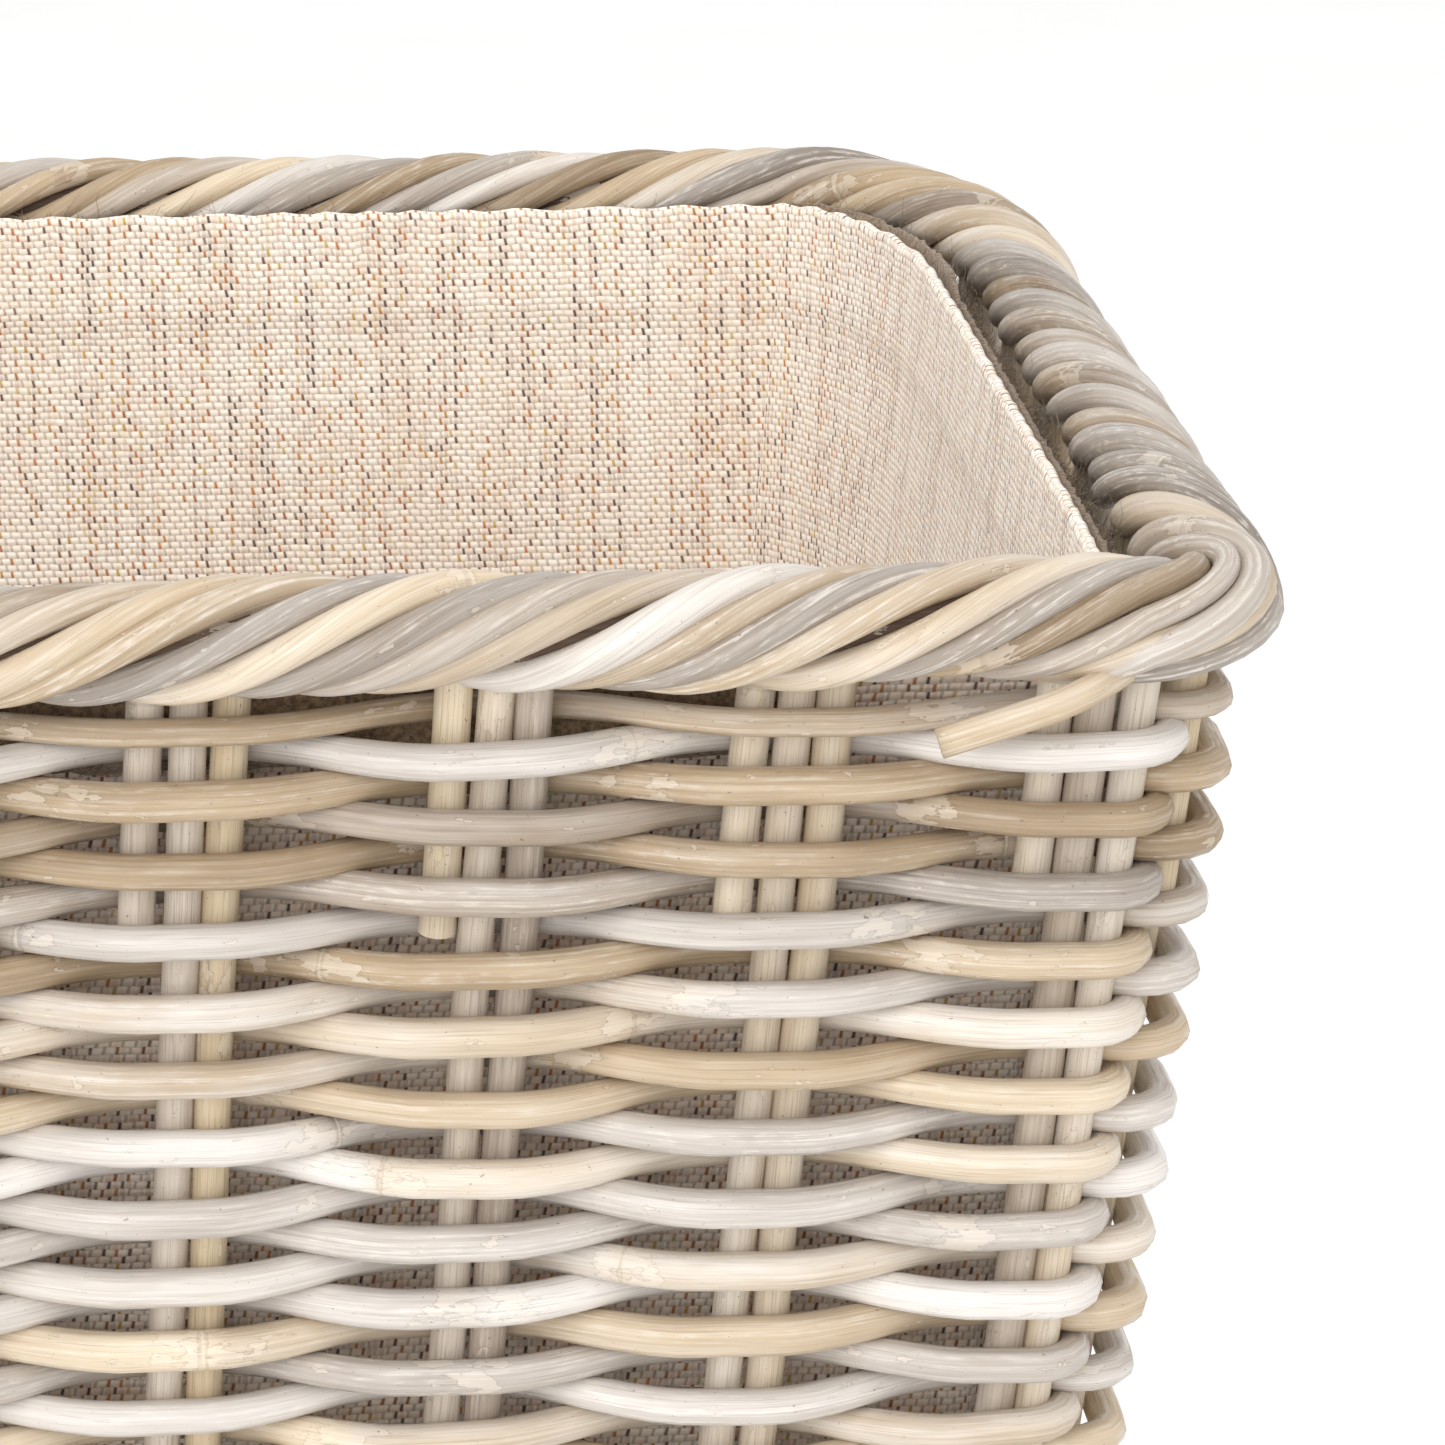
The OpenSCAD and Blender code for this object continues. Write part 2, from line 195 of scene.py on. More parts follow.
def stake_groups():
    """Every stake group, anticlockwise from the middle of the front, as (wall, place, in a corner). A
    place is the distance from the wall's middle at the rim, or the angle of the back corner's ellipse."""
    half_front = GROUPS_FRONT // 2
    half_back = GROUPS_BACK // 2
    right = [(1, -FIRST_SIDE_GROUP + g * GROUP_PITCH, False) for g in range(GROUPS_SIDE)]
    left = [(3, -place, False) for _, place, _ in reversed(right)]
    front = [(0, g * GROUP_PITCH, False) for g in range(-half_front, half_front + 1)]
    back = [(2, g * GROUP_PITCH, False) for g in range(-half_back, half_back + 1)]
    turns = [math.radians(angle) for angle in CORNER_GROUPS]
    right += [(1, turn, True) for turn in turns]
    left = [(3, turn, True) for turn in reversed(turns)] + left
    return front[half_front:] + right + back + left + front[:half_front]


def group_places(loop, z):
    """Distances along the loop of the middles of all stake groups at a height, in order."""
    places = []
    for wall, place, in_corner in stake_groups():
        if in_corner:
            angle = place if wall == 1 else math.pi / 2 - place
            places.append(loop.in_corner(1 if wall == 1 else 2, angle))
        else:
            places.append(loop.on_wall(wall, place - fan_shift(place, TOP_HALF[wall % 2], z)) % loop.length)
    return np.array(places)


def drift(rng, s, length, wavelength):
    """A smooth random curve of about unit size along a closed path of that length."""
    top = max(2, int(length / wavelength))
    total = np.zeros(len(s))
    for _ in range(DRIFT_WAVES):
        turns = rng.integers(1, top + 1)
        total += np.cos(2 * math.pi * turns * s / length + rng.uniform(0, 2 * math.pi))
    return total / math.sqrt(DRIFT_WAVES / 2)


# ---------------------------------------------------------------- meshes of canes

class Canes:
    """Collects bent canes, and turns them into one mesh with what the rattan materials read:
    straight, a point's place in the cane as if it were straight; tone, the shade of its internode;
    and scar, the distance to the nearest leaf scar."""

    def __init__(self, seed):
        self.rng = np.random.default_rng(seed)
        self.points, self.quads, self.tris = [], [], []
        self.straight, self.tone, self.scar = [], [], []
        self.count = 0

    def tones(self, along, base, spread, gap):
        """Tone and scar distance along a cane: each internode has its own shade."""
        rng = self.rng
        scars = [rng.uniform(-gap[0], gap[0])]
        while scars[-1] < along[-1] + gap[1]:
            scars.append(scars[-1] + rng.uniform(*gap))
        scars = np.array(scars)
        shades = base + spread * rng.normal(0, 1, (len(scars) + 1, 3))
        index = np.searchsorted(scars, along)
        nearest = np.minimum(abs(along - scars[np.clip(index - 1, 0, None)]),
                             abs(along - scars[np.clip(index, None, len(scars) - 1)]))
        return np.clip(shades[index], 0, 1), np.clip(nearest, 0, SCAR_REACH)

    def add(self, path, outward, wide, tall, sides=12, closed=True, base=(0.5, 0.5, 0.5),
            spread=(0.1, 0.1, 0.15), gap=(90 * MM, 220 * MM), flat_below=None):
        """One cane along path. outward points away from what it lies on; wide is its half-thickness
        that way, and tall across it."""
        n = len(path)
        if closed:
            tangent = np.roll(path, -1, 0) - np.roll(path, 1, 0)
        else:
            tangent = np.gradient(path, axis=0)
        tangent /= np.linalg.norm(tangent, axis=1)[:, None]
        normal = outward - tangent * (outward * tangent).sum(1)[:, None]
        normal /= np.linalg.norm(normal, axis=1)[:, None]
        across = np.cross(tangent, normal)
        step = np.linalg.norm(np.diff(path, axis=0), axis=1)
        along = np.concatenate([[0], np.cumsum(step)])
        angle = np.arange(sides) / sides * 2 * math.pi
        wide = np.broadcast_to(wide, n)
        tall = np.broadcast_to(tall, n)
        out = wide[:, None] * np.cos(angle)
        up = tall[:, None] * np.sin(angle)
        ring = (path[:, None, :] + normal[:, None, :] * out[:, :, None] + across[:, None, :] * up[:, :, None])
        if flat_below is not None:
            ring[:, :, 2] = np.maximum(ring[:, :, 2], flat_below)
        shift = self.rng.uniform(-3, 3, 3)
        place = np.stack([np.repeat(along[:, None], sides, 1), out, up], 2) + shift
        tone, scar = self.tones(along, np.array(base), np.array(spread), gap)
        self.points.append(ring.reshape(-1, 3))
        self.straight.append(place.reshape(-1, 3))
        self.tone.append(np.repeat(tone, sides, 0))
        self.scar.append(np.repeat(scar, sides))
        rows = n if closed else n - 1
        i = np.repeat(np.arange(rows), sides)
        j = np.tile(np.arange(sides), rows)
        a, b = i * sides, (i + 1) % n * sides
        k = (j + 1) % sides
        self.quads.append(np.stack([a + j, b + j, b + k, a + k], 1) + self.count)
        self.count += n * sides
        if not closed:
            self.cap(path[0], ring[0], place[0], tone[0], self.count - n * sides, False)
            self.cap(path[-1], ring[-1], place[-1], tone[-1], self.count - 1 - sides, True)

    def cap(self, centre, ring, place, tone, first, at_end):
        """Closes one end of the last cane with a fan; a cut end counts as a scar."""
        sides = len(ring)
        self.points.append(centre[None])
        self.straight.append(place.mean(0)[None])
        self.tone.append(tone[None])
        self.scar.append(np.zeros(1))
        j = np.arange(sides)
        k = (j + 1) % sides
        order = [j, k] if at_end else [k, j]
        self.tris.append(np.stack([first + order[0], first + order[1], np.full(sides, self.count)], 1))
        self.count += 1

    def build(self, name, material):
        points = np.concatenate(self.points)
        quads = np.concatenate(self.quads)
        tris = np.concatenate(self.tris) if self.tris else np.zeros((0, 3), int)
        mesh = mesh_from(name, points, quads, tris)
        fill(mesh, "straight", "FLOAT_VECTOR", "vector", np.concatenate(self.straight))
        fill(mesh, "tone", "FLOAT_VECTOR", "vector", np.concatenate(self.tone))
        fill(mesh, "scar", "FLOAT", "value", np.concatenate(self.scar))
        mesh.materials.append(material)
        return link(name, mesh)


def mesh_from(name, points, quads, tris=()):
    mesh = bpy.data.meshes.new(name)
    mesh.vertices.add(len(points))
    mesh.vertices.foreach_set("co", np.asarray(points, np.float32).ravel())
    tris = np.asarray(tris, int).reshape(-1, 3)
    loops = np.concatenate([np.asarray(quads, int).ravel(), tris.ravel()])
    starts = np.concatenate([np.arange(len(quads)) * 4, len(quads) * 4 + np.arange(len(tris)) * 3])
    mesh.loops.add(len(loops))
    mesh.loops.foreach_set("vertex_index", loops.astype(np.int32))
    mesh.polygons.add(len(starts))
    mesh.polygons.foreach_set("loop_start", starts.astype(np.int32))
    mesh.polygons.foreach_set("use_smooth", np.ones(len(starts), bool))
    mesh.update(calc_edges=True)
    return mesh


def fill(mesh, name, kind, field, values):
    layer = mesh.attributes.new(name, kind, "POINT")
    layer.data.foreach_set(field, np.asarray(values, np.float32).ravel())


def link(name, mesh):
    piece = bpy.data.objects.new(name, mesh)
    bpy.context.scene.collection.objects.link(piece)
    return piece


def slab_quads(n, m):
    """Faces of a thin closed slab: a grid of n by m points, its twin whose points follow the grid's, and
    the band that joins their edges."""
    i, j = np.meshgrid(np.arange(m - 1), np.arange(n - 1), indexing="ij")
    a = (i * n + j).ravel()
    face = np.stack([a, a + 1, a + n + 1, a + n], 1)
    edge = np.concatenate([np.arange(n), n - 1 + n * np.arange(1, m),
                           (m - 1) * n + np.arange(n - 2, -1, -1), n * np.arange(m - 2, 0, -1)])
    after = np.roll(edge, -1)
    band = np.stack([edge, edge + n * m, after + n * m, after], 1)
    return [face, face[:, ::-1] + n * m, band]


def lift(xy, z):
    """(n, 2) points and a height, or heights, as (n, 3) points."""
    return np.column_stack([xy, np.broadcast_to(z, len(xy))])


# ---------------------------------------------------------------- materials

def rgb(red, green, blue):
    """A screen colour from 0 to 255 as a linear RGBA value."""
    screen = np.array([red, green, blue]) / 255
    linear = np.where(screen <= 0.04045, screen / 12.92, ((screen + 0.055) / 1.055) ** 2.4)
    return (*linear, 1.0)


class Shader:
    """A material's node tree, with one short method for each kind of node that is used often."""

    def __init__(self, name):
        self.material = bpy.data.materials.new(name)
        self.material.use_nodes = True
        self.tree = self.material.node_tree
        self.surface = self.tree.nodes["Principled BSDF"]

    def put(self, socket, value):
        if isinstance(value, bpy.types.NodeSocket):
            self.tree.links.new(value, socket)
        elif value is not None:
            socket.default_value = value

    def new(self, kind, values=(), **settings):
        node = self.tree.nodes.new(kind)
        for key, setting in settings.items():
            setattr(node, key, setting)
        for key, value in dict(values).items():
            self.put(node.inputs[key], value)
        return node

    def attribute(self, name, output="Vector"):
        return self.new("ShaderNodeAttribute", attribute_name=name).outputs[output]

    def math(self, operation, a, b=None, c=None, clamp=False):
        values = {i: v for i, v in enumerate((a, b, c)) if v is not None}
        return self.new("ShaderNodeMath", values, operation=operation, use_clamp=clamp).outputs[0]

    def scaled(self, vector, scale, offset=(0, 0, 0)):
        values = {0: vector, 1: scale, 2: offset}
        return self.new("ShaderNodeVectorMath", values, operation="MULTIPLY_ADD").outputs[0]

    def split(self, vector):
        return self.new("ShaderNodeSeparateXYZ", {0: vector}).outputs

    def noise(self, vector, detail):
        values = {"Vector": vector, "Scale": 1.0, "Detail": detail, "Roughness": 0.55}
        return self.new("ShaderNodeTexNoise", values).outputs["Fac"]

    def random(self, vector):
        return self.new("ShaderNodeTexWhiteNoise", {"Vector": vector}, noise_dimensions="3D").outputs

    def between(self, value, low, high, to_low=0.0, to_high=1.0):
        """value from low to high, turned smoothly into to_low to to_high."""
        values = {"Value": value, "From Min": low, "From Max": high, "To Min": to_low, "To Max": to_high}
        return self.new("ShaderNodeMapRange", values, interpolation_type="SMOOTHSTEP").outputs[0]

    def ramp(self, value, stops):
        node = self.new("ShaderNodeValToRGB", {0: value})
        elements = node.color_ramp.elements
        while len(elements) < len(stops):
            elements.new(0.5)
        for element, (place, colour) in zip(elements, stops):
            element.position = place
            element.color = colour
        return node.outputs[0]

    def mix(self, share, a, b):
        node = self.new("ShaderNodeMix", data_type="RGBA")
        self.put(node.inputs[0], share)
        self.put(node.inputs[6], a)
        self.put(node.inputs[7], b)
        return node.outputs[2]

    def bump(self, height, distance, strength=1.0):
        values = {"Height": height, "Distance": distance, "Strength": strength}
        return self.new("ShaderNodeBump", values).outputs[0]

    def finish(self, colour, roughness, normal, **constants):
        self.put(self.surface.inputs["Base Color"], colour)
        self.put(self.surface.inputs["Roughness"], roughness)
        self.put(self.surface.inputs["Normal"], normal)
        for key, value in constants.items():
            self.surface.inputs[key.replace("_", " ")].default_value = value
        return self.material


def rattan(name, warm, cool, wash, gloss, groove=0.22, streaks=0.42, rough=(0.34, 0.64), relief=0.15 * MM):
    """Round cane: soft fibre streaks along it, a grey wash in patches, pale leaf scars with torn skin round
    them, specks, and a worn gloss. warm and cool are each a dark, a middle and a light colour."""
    m = Shader(name)
    straight = m.attribute("straight")
    value, hue, pale = m.split(m.attribute("tone"))
    scar = m.attribute("scar", "Fac")
    fibre = m.noise(m.scaled(straight, (14, 1500, 1500)), 3)
    fine = m.noise(m.scaled(straight, (60, 4200, 4200)), 2)
    patch = m.noise(m.scaled(straight, (24, 130, 130), (5, 0, 0)), 3)
    grain = m.noise(m.scaled(straight, (260, 1100, 1100), (9, 0, 0)), 3)

    shade = m.math("MULTIPLY_ADD", patch, 0.5, -0.25 - streaks / 2)
    shade = m.math("ADD", m.math("MULTIPLY_ADD", fibre, streaks, shade), value)
    warm_ramp = m.ramp(shade, [(0.12, warm[0]), (0.5, warm[1]), (0.92, warm[2])])
    cool_ramp = m.ramp(shade, [(0.12, cool[0]), (0.5, cool[1]), (0.92, cool[2])])
    hue_here = m.between(m.math("MULTIPLY_ADD", patch, 0.7, m.math("SUBTRACT", hue, 0.35)), 0.2, 0.8)
    colour = m.mix(hue_here, warm_ramp, cool_ramp)

    washed = m.between(m.math("MULTIPLY_ADD", grain, 0.5, m.math("MULTIPLY", fibre, 0.6)), 0.56, 0.72)
    washed = m.math("MULTIPLY", washed, m.math("MULTIPLY", pale, wash), clamp=True)
    colour = m.mix(washed, colour, rgb(226, 219, 211))
    lines = m.between(fine, 0.34, 0.48, groove, 0.0)
    colour = m.mix(lines, colour, rgb(110, 90, 72))

    torn = m.noise(m.scaled(straight, (150, 380, 380), (2, 0, 0)), 4)
    near = m.between(scar, 1 * MM, 14 * MM, 0.2, 0.0)
    peeled = m.math("ADD", torn, near)
    skin = m.between(peeled, 0.665, 0.68)
    skin_edge = m.between(m.math("ABSOLUTE", m.math("SUBTRACT", peeled, 0.665)), 0.0, 0.012, 1.0, 0.0)
    colour = m.mix(m.math("MULTIPLY", skin, 0.34), colour, rgb(230, 218, 202))
    colour = m.mix(m.math("MULTIPLY", skin_edge, 0.22), colour, rgb(96, 74, 56))
    ring = m.math("ABSOLUTE", m.math("MULTIPLY_ADD", torn, 1.6 * MM, m.math("SUBTRACT", scar, 0.9 * MM)))
    crest = m.between(ring, 0.0, 0.8 * MM, 1.0, 0.0)
    below = m.between(m.math("ABSOLUTE", m.math("SUBTRACT", ring, 0.9 * MM)), 0.0, 0.35 * MM, 1.0, 0.0)
    colour = m.mix(m.math("MULTIPLY", crest, 0.35), colour, rgb(228, 216, 198))
    colour = m.mix(m.math("MULTIPLY", below, 0.2), colour, rgb(104, 78, 58))

    speck = m.noise(m.scaled(straight, (900, 1300, 1300), (4, 0, 0)), 2)
    colour = m.mix(m.between(speck, 0.71, 0.76, 0.0, 0.6), colour, rgb(92, 70, 54))

    worn = m.noise(m.scaled(straight, (110, 700, 700), (7, 0, 0)), 4)
    roughness = m.between(worn, 0.38, 0.6, *rough)
    height = m.math("MULTIPLY_ADD", fibre, 0.5, m.math("MULTIPLY", fine, 0.25))
    height = m.math("MULTIPLY_ADD", crest, 1.4, height)
    height = m.math("MULTIPLY_ADD", skin, 0.5, height)
    height = m.math("MULTIPLY_ADD", patch, 1.0, height)
    if gloss:
        polish = m.between(m.math("MULTIPLY_ADD", worn, -1.0, m.math("MULTIPLY", fibre, 0.4)), -0.4, -0.16)
        m.put(m.surface.inputs["Coat Weight"], m.math("MULTIPLY", polish, gloss))
    return m.finish(colour, roughness, m.bump(height, relief), Coat_Roughness=0.2,
                    Specular_IOR_Level=0.5)


def liner_cloth():
    """Slub cloth: short cream floats of weft, with warp yarns between their ends that turn brown, ochre,
    orange or white along their length."""
    m = Shader("liner_cloth")
    uv = m.new("ShaderNodeUVMap", uv_map="cloth").outputs[0]
    wobble = m.noise(m.scaled(uv, (150, 110, 0)), 2)
    u, v, _ = m.split(uv)
    warp = m.math("MULTIPLY_ADD", wobble, 0.9, m.math("DIVIDE", u, 1.2 * MM))
    pick = m.math("MULTIPLY_ADD", wobble, 0.8, m.math("DIVIDE", v, 1.5 * MM))
    row = m.math("FLOOR", pick)
    in_row = m.math("FRACT", pick)
    yarn = m.math("ROUND", warp)
    off_yarn = m.math("ABSOLUTE", m.math("MULTIPLY_ADD", in_row, -0.24, m.math("SUBTRACT", warp, yarn)))
    odd = m.math("FRACT", m.math("MULTIPLY", m.math("ADD", yarn, row), 0.5))
    showing = m.math("GREATER_THAN", odd, 0.25)
    knot = m.math("MULTIPLY", m.between(off_yarn, 0.12, 0.34, 1.0, 0.0), showing)
    rise = m.math("SINE", m.math("MULTIPLY", in_row, math.pi))

    cell = m.new("ShaderNodeCombineXYZ", {0: yarn, 1: row, 2: 0.5}).outputs[0]
    chance, other, _ = m.split(m.random(cell)["Color"])
    along = m.new("ShaderNodeCombineXYZ", {0: m.math("MULTIPLY", yarn, 7.31), 1: m.math("MULTIPLY", v, 34)})
    slub = m.noise(along.outputs[0], 2)
    stripe = m.noise(m.new("ShaderNodeCombineXYZ", {0: m.math("MULTIPLY", yarn, 3.77)}).outputs[0], 0)
    busy = m.math("MULTIPLY_ADD", slub, 1.5, m.math("MULTIPLY", stripe, 1.3))
    coloured = m.between(m.math("MULTIPLY_ADD", chance, 0.4, busy), 1.56, 1.72)
    tint = m.noise(m.new("ShaderNodeCombineXYZ", {0: m.math("MULTIPLY", yarn, 5.19),
                                                 1: m.math("MULTIPLY", v, 16)}).outputs[0], 1)
    tints = m.ramp(m.math("MULTIPLY_ADD", other, 0.3, m.math("SUBTRACT", tint, 0.15)), [
        (0.30, rgb(92, 68, 58)), (0.42, rgb(118, 84, 66)), (0.50, rgb(176, 116, 66)),
        (0.56, rgb(196, 128, 70)), (0.62, rgb(196, 168, 84)), (0.70, rgb(238, 228, 214))])

    weft = m.noise(m.scaled(uv, (260, 900, 0), (3, 0, 0)), 3)
    broad = m.noise(m.scaled(uv, (60, 14, 0), (8, 0, 0)), 3)
    cream = m.ramp(m.math("MULTIPLY_ADD", broad, 0.5, m.math("MULTIPLY", weft, 0.5)), [
        (0.3, rgb(238, 223, 207)), (0.5, rgb(249, 238, 225)), (0.7, rgb(254, 248, 240))])
    shadow = m.between(rise, 0.0, 0.5, 0.3, 0.0)
    colour = m.mix(shadow, cream, rgb(198, 176, 154))
    # Where the weft floats end, uncoloured warp shows greyish brown, which is painted shade in the pits;
    # coloured warp shows its own dye.
    knot_colour_and_pit_shade = m.mix(coloured, rgb(180, 158, 138), tints)
    knot_share = m.math("MULTIPLY", knot, m.math("MULTIPLY_ADD", coloured, 0.35, 0.6))
    colour = m.mix(knot_share, colour, knot_colour_and_pit_shade)
    stained = m.math("MULTIPLY", coloured, m.between(off_yarn, 0.3, 0.5, 0.26, 0.1))
    colour = m.mix(stained, colour, tints)
    height = m.math("MULTIPLY_ADD", knot, -0.6, rise)
    return m.finish(colour, 0.92, m.bump(height, 0.35 * MM, 0.8), Sheen_Weight=0.2, Sheen_Roughness=0.5,
                    Subsurface_Weight=0.5, Subsurface_Radius=(1.0, 0.8, 0.65), Subsurface_Scale=1.5 * MM)


def fuzzy_tape(name, dark, light):
    """Brushed hook-and-loop tape."""
    m = Shader(name)
    place = m.new("ShaderNodeTexCoord").outputs["Object"]
    tuft = m.noise(m.scaled(place, (900, 900, 900)), 3)
    colour = m.ramp(tuft, [(0.3, dark), (0.7, light)])
    return m.finish(colour, 0.95, m.bump(tuft, 0.8 * MM), Sheen_Weight=0.4)


def plain_floor():
    """Matte pale floor with a very faint mottle."""
    m = Shader("floor")
    place = m.new("ShaderNodeTexCoord").outputs["Object"]
    mottle = m.noise(m.scaled(place, (6, 6, 6)), 3)
    colour = m.ramp(mottle, [(0.3, rgb(250, 250, 249)), (0.7, rgb(253, 253, 252))])
    return m.finish(colour, 0.7, m.bump(mottle, 0.2 * MM, 0.2))


WEAVER = rattan(
    "weaver_rattan",
    (rgb(112, 92, 70), rgb(176, 154, 125), rgb(220, 203, 178)),
    (rgb(116, 106, 98), rgb(182, 172, 163), rgb(226, 220, 214)),
    wash=0.6, gloss=0.5)
STAKE = rattan(
    "stake_rattan",
    (rgb(146, 122, 92), rgb(206, 187, 156), rgb(230, 215, 190)),
    (rgb(142, 126, 112), rgb(202, 189, 174), rgb(228, 219, 206)),
    wash=0.4, groove=0.34, streaks=0.3, rough=(0.6, 0.85), relief=0.2 * MM, gloss=0.0)
RIM = rattan(
    "rim_rattan",
    (rgb(122, 100, 74), rgb(186, 164, 134), rgb(224, 206, 178)),
    (rgb(126, 116, 107), rgb(186, 176, 166), rgb(224, 217, 209)),
    wash=0.6, gloss=0.5)
# Dark cane for the cores inside the borders: its colours are painted shade for the gaps between the strands.
SHADOW_CANE = rattan(
    "core_painted_shade_rattan",
    (rgb(70, 52, 40), rgb(96, 74, 56), rgb(120, 96, 74)),
    (rgb(70, 58, 50), rgb(92, 78, 68), rgb(118, 104, 92)),
    wash=0.1, rough=(0.7, 0.9), gloss=0.0)


# ---------------------------------------------------------------- the woven walls

WEAVE_STEP = 4.8 * MM
WEAVE_CORNER_STEP = 2.2 * MM
FLAT_OVER_GROUP = 8.5 * MM
COURSE_SAG = 1.1 * MM
SAGS_PER_ROUND = 5
WEAVE_BANDS = 5


def woven_ring(canes, z, parity, cane_r, base):
    """One woven ring: outside the stake groups of one parity, and inside the others."""
    rng = canes.rng
    loop = Loop(plane_half(z), WALL_CORNER_R)
    s = loop.spread(WEAVE_STEP, WEAVE_CORNER_STEP)
    places = group_places(loop, z)
    sides = np.where((np.arange(len(places)) + parity) % 2 == 0, 1.0, -1.0)
    index = np.searchsorted(places, s, side="right") - 1
    here = places[index] - np.where(index < 0, loop.length, 0)
    after = (index + 1) % len(places)
    room = np.mod(places[after] - here, loop.length)
    plateau = np.minimum(FLAT_OVER_GROUP, 0.24 * room)
    turn = np.clip((s - here - plateau) / (room - 2 * plateau), 0, 1)
    turn = 0.6 * (1 - np.cos(math.pi * turn)) / 2 + 0.4 * turn
    side = sides[index] * (1 - turn) + sides[after] * turn
    offset = (STAKE_R + cane_r - 0.1 * MM) * side + 0.3 * MM * drift(rng, s, loop.length, 60 * MM)
    xy, normal = loop.at(s)
    height = (z + 0.4 * MM * drift(rng, s, loop.length, 90 * MM)
              + COURSE_SAG * np.cos(2 * math.pi * SAGS_PER_ROUND * s / loop.length - 2.0))
    radius = cane_r * rng.normal(1.0, 0.035) * (1 + 0.02 * drift(rng, s, loop.length, 120 * MM))
    squeezed = radius * (0.93 + 0.06 * np.abs(side))
    canes.add(lift(xy + normal * offset[:, None], height), lift(normal, 0.0), radius, squeezed,
              base=base, spread=(0.09, 0.16, 0.2))


def course(canes, k):
    rng = canes.rng
    low_share = 1 - k / (COURSES - 1)
    lower = min(1, 7 * low_share)
    base = (rng.normal(0.4 + 0.3 * lower, 0.085), rng.normal(0.38 + 0.25 * lower, 0.28), rng.uniform(0.1, 1))
    z = FIRST_Z + (LAST_Z - FIRST_Z) * k / (COURSES - 1)
    woven_ring(canes, z, k + 1, WEAVER_R, base)


def woven_walls():
    nodes = [f"weave_{part}_{wall}" for part in ("outer", "inner") for wall in WALLS]
    nodes += [f"weave_corner_{corner}" for corner in CORNERS]
    for band in range(WEAVE_BANDS):
        canes = Canes(100 + band)
        for k in range(band * COURSES // WEAVE_BANDS, (band + 1) * COURSES // WEAVE_BANDS):
            course(canes, k)
        piece = canes.build(f"courses_{band + 1}", WEAVER)
        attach(piece, "basket")
        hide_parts(*nodes[band::WEAVE_BANDS])


def binding_course():
    """The thinner last course, half under the rim."""
    canes = Canes(7)
    woven_ring(canes, BINDER_Z, COURSES + 1, BINDER_R, (0.6, 0.2, 0.3))
    piece = canes.build("binding_cane", WEAVER)
    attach(piece, "basket")
    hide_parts("binding_course")


# ---------------------------------------------------------------- stakes

def corner_path(wall, turn, beside, z):
    """Points and outward directions, seen from above, of an upright in a back corner at heights z."""
    mirror = np.array([1.0 if wall == 1 else -1.0, 1.0])
    spoke = np.array([math.cos(turn), math.sin(turn)])
    forward = np.array([-spoke[1], spoke[0]]) * BACK_CORNER
    forward /= np.linalg.norm(forward)
    outward = np.array([forward[1], -forward[0]])
    xy = np.array([plane_half(h) for h in z]) - BACK_CORNER * (1 - spoke) + mirror[0] * beside * forward
    return xy * mirror, np.broadcast_to(outward * mirror, xy.shape)


def wall_path(wall, along, beside, z):
    """The same for an upright on a straight wall, which leans with the fan of its group."""
    local = along + beside - np.array([fan_shift(along, TOP_HALF[wall % 2], h) for h in z])
    dist = np.array([plane_half(h)[(wall + 1) % 2] for h in z])
    c, s = math.cos(wall * math.pi / 2), math.sin(wall * math.pi / 2)
    xy = np.column_stack([local * c + dist * s, local * s - dist * c])
    return xy, np.broadcast_to(np.array([s, -c]), xy.shape)


def upright(canes, group, beside, low_z, high_z):
    rng = canes.rng
    wall, place, in_corner = group
    z = np.linspace(low_z, high_z, max(6, int((high_z - low_z) / (11 * MM))))
    xy, outward = (corner_path if in_corner else wall_path)(wall, place, beside, z)
    sway = 0.25 * MM * drift(rng, z, 0.5, 0.1)
    depth = 0.15 * MM * drift(rng, z, 0.5, 0.12)
    across = np.column_stack([-outward[:, 1], outward[:, 0]])
    xy = xy + across * sway[:, None] + outward * depth[:, None]
    radius = STAKE_R * rng.normal(0.99, 0.03)
    base = (rng.normal(0.56, 0.1), rng.uniform(0.1, 0.9), rng.uniform(0, 0.8))
    canes.add(lift(xy, z), lift(outward, 0.0), radius, radius, sides=14, closed=False, base=base,
              spread=(0.05, 0.08, 0.1), gap=(160 * MM, 320 * MM))


def stakes():
    low = node_box("stakes_front")[0]
    bye_low = node_box("bye_stakes_front")[0][2]
    for wall, name in enumerate(WALLS):
        canes, byes = Canes(200 + wall), Canes(300 + wall)
        for group in stake_groups():
            if group[0] != wall:
                continue
            upright(canes, group, 0, low[2], RIM_Z)
            upright(canes, group, STAKE_STEP, low[2], RIM_Z)
            upright(byes, group, -STAKE_STEP, bye_low + byes.rng.uniform(-3, 3) * MM, RIM_Z)
        for bundle, node in ((canes, f"stakes_{name}"), (byes, f"bye_stakes_{name}")):
            piece = bundle.build(node.replace("stakes", "uprights"), STAKE)
            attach(piece, "basket")
            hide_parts(node)


# ---------------------------------------------------------------- twisted borders

ROPE_START = math.radians(-125)
ROPE_SAMPLES = 46
STRAND_THICK = 3.05 * MM
TUCK = 2.6 * MM


